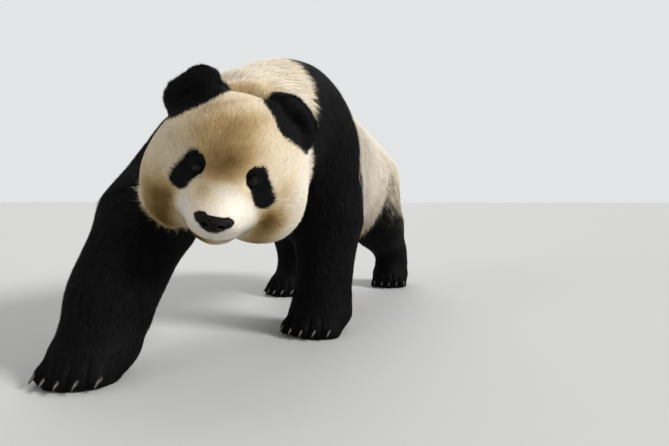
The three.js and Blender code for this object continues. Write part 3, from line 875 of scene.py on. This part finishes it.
# ---- coat
# Each tuft is a few hairs as one thin blade of two triangles: narrow at its root, widest where it bends
# over about halfway, and pointed. It rises from the hide, bends the way the coat is combed and lies
# along the hide from there, so that the tips make the outline.

# For each kind of part, in millimetres: the length and width of a tuft. The head's are set further on.
TUFTS = {
    "eye": (0, 0), "nose": (5, 0.6), "muzzle": (9, 0.68), "head": (0, 0), "ear": (21, 1.0),
    "neck": (50, 1.5), "chest": (50, 1.6), "trunk": (56, 1.7), "tail": (48, 1.6),
    "upper": (44, 1.6), "lower": (35, 1.4), "paw": (15, 1.1),
}
HEAD_TUFTS = ((8.5, 18), (0.66, 0.34), (3.8, 6.6))  # length, width and depth, and what they gain off the face
LID_LENGTH, LID_DEPTH = 5.5 * MM, 1.6 * MM
CHIN_LONGER, CHIN_DEEPER = 7 * MM, 2.5 * MM
FACE_CROWDING = 1.5  # how much closer tufts stand on the face
LAYERS = 7  # how many tufts lie over each point of the hide
MOST_TUFTS = 98000  # in one piece

COMBED = {"tail": (0, 0.35, -1), "chest": (0, 0.8, -1), "trunk": (0, 1, -0.45)}
NEXT = {"upper": "_lower", "lower": "_paw", "paw": "_claw_3"}


def combed(name):
    """Which way the fur lies on a solid: down the legs, over the toes, and to the rear on the body."""
    leg, _, part = name.rpartition("_")
    if part in NEXT:
        return unit(unit(middle(leg + NEXT[part]) - middle(name)) - (0, 0, 0.6 * (part == "paw")))
    return unit(np.array(COMBED.get(name, (0, 1, -0.2))))


local = in_head(sheet.at)
comb = np.array([combed(name) for name in body])[node]
on_face = of_kind(which, "head", "muzzle", "eye", "nose")
FACE_SOURCE = mm(0, -196, -38)  # from under the nose pad the fur spreads over the face
EAR_ROOT = 55 * MM  # and from this far below their middles over the ears
comb = np.where(on_face[:, None], (local - FACE_SOURCE) @ HEAD_AXES.T, comb)
for side in SIGN:
    here = node == body.index("ear_" + side)
    ear = middle("ear_" + side)
    root = ear - EAR_ROOT * unit(ear - head_middle)
    comb = np.where(here[:, None], sheet.at - root, comb)


def laid(comb, out):
    """The comb's direction along the hide."""
    return unit(comb - (comb * out).sum(1)[:, None] * out)


comb = unit(comb)
round_eye = np.zeros(len(local))
for side, place in eye_places.items():
    offset = (local - place) * (1, 0, 1)
    near = ramp_mm(24, 11, size(offset)) * (local[:, 1] < place[1] + 10 * MM)
    comb = comb + (1.6 * near)[:, None] * (unit(offset) @ HEAD_AXES.T)
    round_eye = np.maximum(round_eye, near)
comb = laid(comb, sheet.out)
steady = np.where(on_face | of_kind(which, "ear"), 0.04, 0.6)
for _ in range(4):
    comb = laid(sheet.spread(comb, 80, steady), sheet.out)

face = face_share(local)
furred = of_kind(which, "head", "eye")
length, width = (np.array(column)[which] * MM for column in zip(*TUFTS.values()))
depth = np.array([PARTS[kind][0] for kind in kinds])[which] * MM
over_head = [(start + gain * face) * MM for start, gain in HEAD_TUFTS]
length, width, depth = np.where(furred, over_head, (length, width, depth))
length = length - round_eye * (length - LID_LENGTH)
depth = depth - round_eye * (depth - LID_DEPTH)
chin = of_kind(which, "muzzle") * ramp_mm(-62, -88, local[:, 2])
length, depth = length + CHIN_LONGER * chin, depth + CHIN_DEEPER * chin

# By the right foreleg the cheek's tufts are short and steady. On the rims of head and ears they stand out.
by_leg, loose = np.zeros(len(local)), np.ones(len(local))
by_leg[near_cheek] = ramp_mm(26, 8, from_leg) * furred[near_cheek]
loose[near_cheek] = 1 - ramp_mm(70, 40, from_leg) * furred[near_cheek]
to_leg = ramp_mm(-84, -104, local[:, 0]) * furred
length, loose = length * (1 - 0.4 * to_leg), loose * (1 - to_leg)
on_rim = furred * ramp_mm(85, 115, np.abs(local[:, 0])) + 1.7 * of_kind(which, "ear")
fringe = loose * np.where(of_kind(which, "muzzle", "nose"), 0, 0.05 + 0.15 * on_rim) * (1 - round_eye)
length = length * (1 - 0.5 * by_leg) * (1 - 0.8 * before_crease)
crowded = np.where(on_face, FACE_CROWDING, 1.0)
length, width, depth = sheet.spread(np.stack([length, width, depth], 1), 20).T

hide.data.calc_loop_triangles()
facets = numbers(hide.data.loop_triangles, "vertices", 3, np.int32)
a, b, c = (sheet.at[facets[:, i]] for i in range(3))
area = size(np.cross(b - a, c - a)) / 2
area *= 1 - bare[facets].max(1)
wanted = LAYERS * 2 * area / (length * width)[facets].mean(1) * crowded[facets].mean(1)
facet_node = node[facets[:, 0]]
facet_local = in_head((a + b + c) / 3)


def unwrapped(name, chosen):
    """Lays these facets of the hide out flat, and gives the places of their corners there."""
    mesh = bpy.data.meshes.new(name)
    points, order = np.unique(facets[chosen], return_inverse=True)
    mesh.from_pydata(sheet.at[points], [], order.reshape(-1, 3))
    thing = placed(name, mesh)
    bpy.ops.object.select_all(action="DESELECT")
    bpy.context.view_layer.objects.active = thing
    thing.select_set(True)
    mesh.uv_layers.new(name="flat")
    bpy.ops.object.mode_set(mode="EDIT")
    bpy.ops.mesh.select_all(action="SELECT")
    bpy.ops.uv.smart_project(angle_limit=1.15, island_margin=0.01, scale_to_bounds=True)
    bpy.ops.object.mode_set(mode="OBJECT")
    flat = numbers(mesh.uv_layers["flat"].uv, "vector", 2).reshape(-1, 3, 2)
    bpy.data.meshes.remove(mesh)  # and its object with it
    return flat


def gathered(root, mid, tip):
    """Draws the tips of tufts together into locks, and says which lock each belongs to."""
    picked = rng.permutation(len(root))[: max(len(root) // LOCK, 1)]
    tree = KDTree(len(picked))
    for index, point in enumerate(root[picked].tolist()):
        tree.insert(point, index)
    tree.balance()
    lock = np.array([tree.find(point)[1] for point in root.tolist()])
    leader = picked[lock]
    pull = rng.uniform(*LOCK_PULL, len(root))[:, None]
    return mid + 0.4 * pull * (mid[leader] - mid), tip + pull * (tip[leader] - tip), lock


hide_tree = BVHTree.FromPolygons(sheet.at.tolist(), facets.tolist())
facet_out, facet_comb = sheet.out[facets].mean(1), comb[facets].mean(1)
on_black_leg = np.char.startswith(np.array(body)[facet_node], "foreleg") & (dark[facets].mean(1) > 0.5)


def onto_hide(points):
    """The nearest places on the hide, the ways out and along its comb, and if a foreleg is black there."""
    found = [hide_tree.find_nearest(point) for point in points.tolist()]
    facet = np.array([hit[2] for hit in found])
    out = unit(facet_out[facet])
    return np.array([hit[0] for hit in found]), out, laid(facet_comb[facet], out), on_black_leg[facet]


LOCK, LOCK_PULL = 15, (0.1, 0.5)  # tufts in a lock, and how far their tips are drawn together
PATCH = 0.003  # the size of a tuft on its piece's map
BLADE = np.array([[0, 2, 1], [1, 2, 3]])
BEND, BEND_HEIGHT = 0.48, 0.88  # where along a tuft it bends over, and its height there
LONG_RANGE, HIGH_RANGE = (0.75, 1.1), (0.74, 1.04)  # how tufts vary in length and height
STRAY, FOLLOW = 0.15, 0.7  # how far tufts stray from the comb, and take it up again at the bend
CUT_BACK = 0.3  # what is left of a white tuft that would lie on a black foreleg
ROOT_SUNK, TUFT_LOWEST = 0.8 * MM, 0.4 * MM
OWN_TINT = 0.55  # how much of its tint a tuft doesn't share with its lock
FADE_MIX = 0.7  # how much black and white tufts mix in a fade
RUFFLE, RUFFLE_LONG, LONG = 0.07, 0.15, 30 * MM  # how much the shading varies, and how much more on long fur

fur, tree, surface = new_material("fur", Specular_IOR_Level=0.1)
link(sum_of("MULTIPLY_ADD", stored(tree, "dark"), 0.1, 0.6), surface["Roughness"])
link(fur_colour_in(tree), surface["Base Color"])
geometry = add(tree, "NewGeometry").outputs
facing = sum_of("MULTIPLY_ADD", geometry["Backfacing"], -2.0, 1.0)
outward = {0: geometry["Normal"], "Scale": facing}
outward = add(tree, "VectorMath", outward, operation="SCALE").outputs["Vector"]
link(outward, surface["Normal"])


def comb_tufts(name, chosen):
    """Grows one piece of the coat on the chosen facets of the hide."""
    chosen = np.flatnonzero(chosen & (wanted > 0))
    flat = unwrapped(name, chosen)
    total = wanted[chosen].sum()
    count = int(min(total, MOST_TUFTS))
    steps = (np.arange(count) + rng.random(count)) / count * total
    pick = np.searchsorted(np.cumsum(wanted[chosen]), steps).clip(0, len(chosen) - 1)
    share = rng.random((2, count))
    share = np.where(share.sum(0) > 1, 1 - share, share)
    weights = np.stack([1 - share.sum(0), *share], 1)
    corners = facets[chosen[pick]]

    def here(values):
        return np.einsum("nk,nk...->n...", weights, values[corners])

    root, out, way = here(sheet.at), unit(here(sheet.out)), here(comb)
    long, wide, deep = here(length), here(width), here(depth)
    way = laid(way, out)
    side = np.cross(way, out)
    way = unit(way + side * rng.normal(0, STRAY, count)[:, None])
    side = np.cross(way, out)
    long = long * rng.uniform(*LONG_RANGE, count)
    high = deep * rng.uniform(*HIGH_RANGE, count)
    mid_high = BEND_HEIGHT * high
    reach = np.sqrt(np.maximum((BEND * long) ** 2 - mid_high**2, 0))[:, None]
    foot, mid_out, mid_way, strayed = onto_hide(root + way * reach)
    mid = foot + mid_out * mid_high[:, None]
    way_on = laid(way + FOLLOW * mid_way, mid_out)
    reach = np.sqrt(np.maximum(((1 - BEND) * long) ** 2 - (high - mid_high) ** 2, 0))[:, None]
    foot, tip_out, _, strayed_on = onto_hide(foot + way_on * reach)
    tip = foot + tip_out * high[:, None]
    straight = mid + way_on * reach + mid_out * (high - mid_high)[:, None]
    tip += (here(loose) * rng.random(count) ** 2)[:, None] * (straight - tip)
    tip += (here(fringe) * long * rng.random(count) ** 2)[:, None] * tip_out
    mid, tip, lock = gathered(root, mid, tip)
    kept = np.where((here(dark) < 0.5) & (strayed | strayed_on), CUT_BACK, 1)[:, None]
    mid, tip = root + kept * (mid - root), root + kept * (tip - root)
    half = side * (wide / 2)[:, None]
    points = np.stack([root - ROOT_SUNK * out, mid - half, mid + half, tip], 1)
    points[..., 2] = np.maximum(points[..., 2], TUFT_LOWEST)

    mesh = bpy.data.meshes.new(name)
    order = (np.arange(count)[:, None, None] * 4 + BLADE).astype(np.int32)
    mesh.vertices.add(4 * count)
    mesh.vertices.foreach_set("co", points.astype(np.float32).ravel())
    mesh.loops.add(order.size)
    mesh.loops.foreach_set("vertex_index", order.ravel())
    mesh.polygons.add(2 * count)
    mesh.polygons.foreach_set("loop_start", np.arange(0, order.size, 3, dtype=np.int32))
    mesh.update(calc_edges=True)

    place = 2 * PATCH + (1 - 4 * PATCH) * np.einsum("nk,nkd->nd", weights, flat[pick])
    spots = np.array([[0, -0.5], [-0.5, 0], [0.5, 0], [0, 0.5]]) * PATCH
    spots = (place[:, None] + spots).reshape(-1, 2)[order.ravel()]
    mesh.uv_layers.new(name="OFBake").uv.foreach_set("vector", spots.astype(np.float32).ravel())
    tint = OWN_TINT * rng.random(count) + (1 - OWN_TINT) * rng.random(lock.max() + 1)[lock]
    black, stain_and_shade_level = here(dark), here(stain)
    in_fade = (black > 0.02) & (black < 0.98)
    black = np.where(in_fade, ramp(0.2, 0.8, black + FADE_MIX * (tint - 0.5)), black)
    for field, values in {"dark": black, "stain": stain_and_shade_level, "tint": tint}.items():
        keep(mesh, field, np.repeat(values, 4))
    keep(mesh, "along", np.tile([0, 0.5, 0.5, 1], count))
    ruffle = (RUFFLE + RUFFLE_LONG * np.minimum(long / LONG, 1))[:, None]
    ruffle = ruffle * (side * rng.normal(0, 1, (count, 1)) + way * rng.normal(0.5, 0.7, (count, 1)))
    lean = np.stack([out, mid_out, mid_out, tip_out], 1) + ruffle[:, None]
    keep(mesh, "custom_normal", unit(lean).reshape(-1, 3), "FLOAT_VECTOR", "vector")
    mesh.materials.append(fur)
    thing = placed(name, mesh)
    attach(thing, "root")


def on(*names):
    return np.isin(facet_node, [body.index(name) for name in names])


on_head = on("muzzle", "head", "nose", "eye_left", "eye_right")
ahead, to_left = facet_local[:, 1] < -40 * MM, facet_local[:, 0] > 0
pieces = {
    "face_left": on_head & ahead & to_left, "face_right": on_head & ahead & ~to_left,
    "crown": on_head & ~ahead, "ears": on("ear_left", "ear_right"),
    "neck": on("neck"), "chest": on("chest"), "trunk": on("trunk"), "tail": on("tail"),
}
pieces |= {leg: on(*(leg + part for part in ("_upper", "_lower", "_paw"))) for leg in LEGS}
for name, chosen in pieces.items():
    black = name in ("ears", "chest", *LEGS)
    comb_tufts("coat_" + name, chosen)

# ---- stage
# A pale floor that runs out of sight, a strong soft light from the animal's left, a weak one from the
# viewer's left, and a third from behind that edges the back.

FLOOR_HALF, FLOOR_GREY = 60, (0.50, 0.50, 0.49, 1)
SKY_GREY, SKY, SKY_SEEN = (0.93, 0.94, 0.95, 1), 0.45, 0.38  # its light, and what the camera sees more
bm = bmesh.new()
bmesh.ops.create_grid(bm, x_segments=1, y_segments=1, size=FLOOR_HALF)
floor = shown("floor", bm)
floor_finish, tree, surface = new_material("pale floor", Roughness=0.7)
surface["Base Color"].default_value = FLOOR_GREY
floor.data.materials.append(floor_finish)

for name, azimuth, height, power, spread in (
    ("key", 92, 32, 3.4, 18),
    ("fill", -35, 22, 0.45, 20),
    ("back", 205, 50, 1.1, 50),
):
    light = bpy.data.lights.new(name, "SUN")
    light.energy, light.angle = power, math.radians(spread)
    placed(name, light).rotation_euler = (math.radians(90 - height), 0, math.radians(azimuth))
world = bpy.data.worlds.new("studio")
world.use_nodes = True
sky = world.node_tree.nodes["Background"].inputs
seen = add(world.node_tree, "LightPath").outputs["Is Camera Ray"]
link(sum_of("MULTIPLY_ADD", seen, SKY_SEEN, SKY), sky["Strength"])
sky["Color"].default_value = SKY_GREY
bpy.context.scene.world = world
bpy.context.scene.view_settings.view_transform = "Standard"

CAMERA_AT = (0.6028, -1.3339, 0.331)
CAMERA_AZIMUTH, CAMERA_PITCH = math.radians(18.5), math.radians(2.65)
camera = bpy.data.cameras.new("camera")
camera.lens, camera.sensor_width = 27.07, 36
viewer = placed("camera", camera)
viewer.location = CAMERA_AT
viewer.rotation_euler = (math.radians(90) - CAMERA_PITCH, 0, CAMERA_AZIMUTH)
bpy.context.scene.camera = viewer
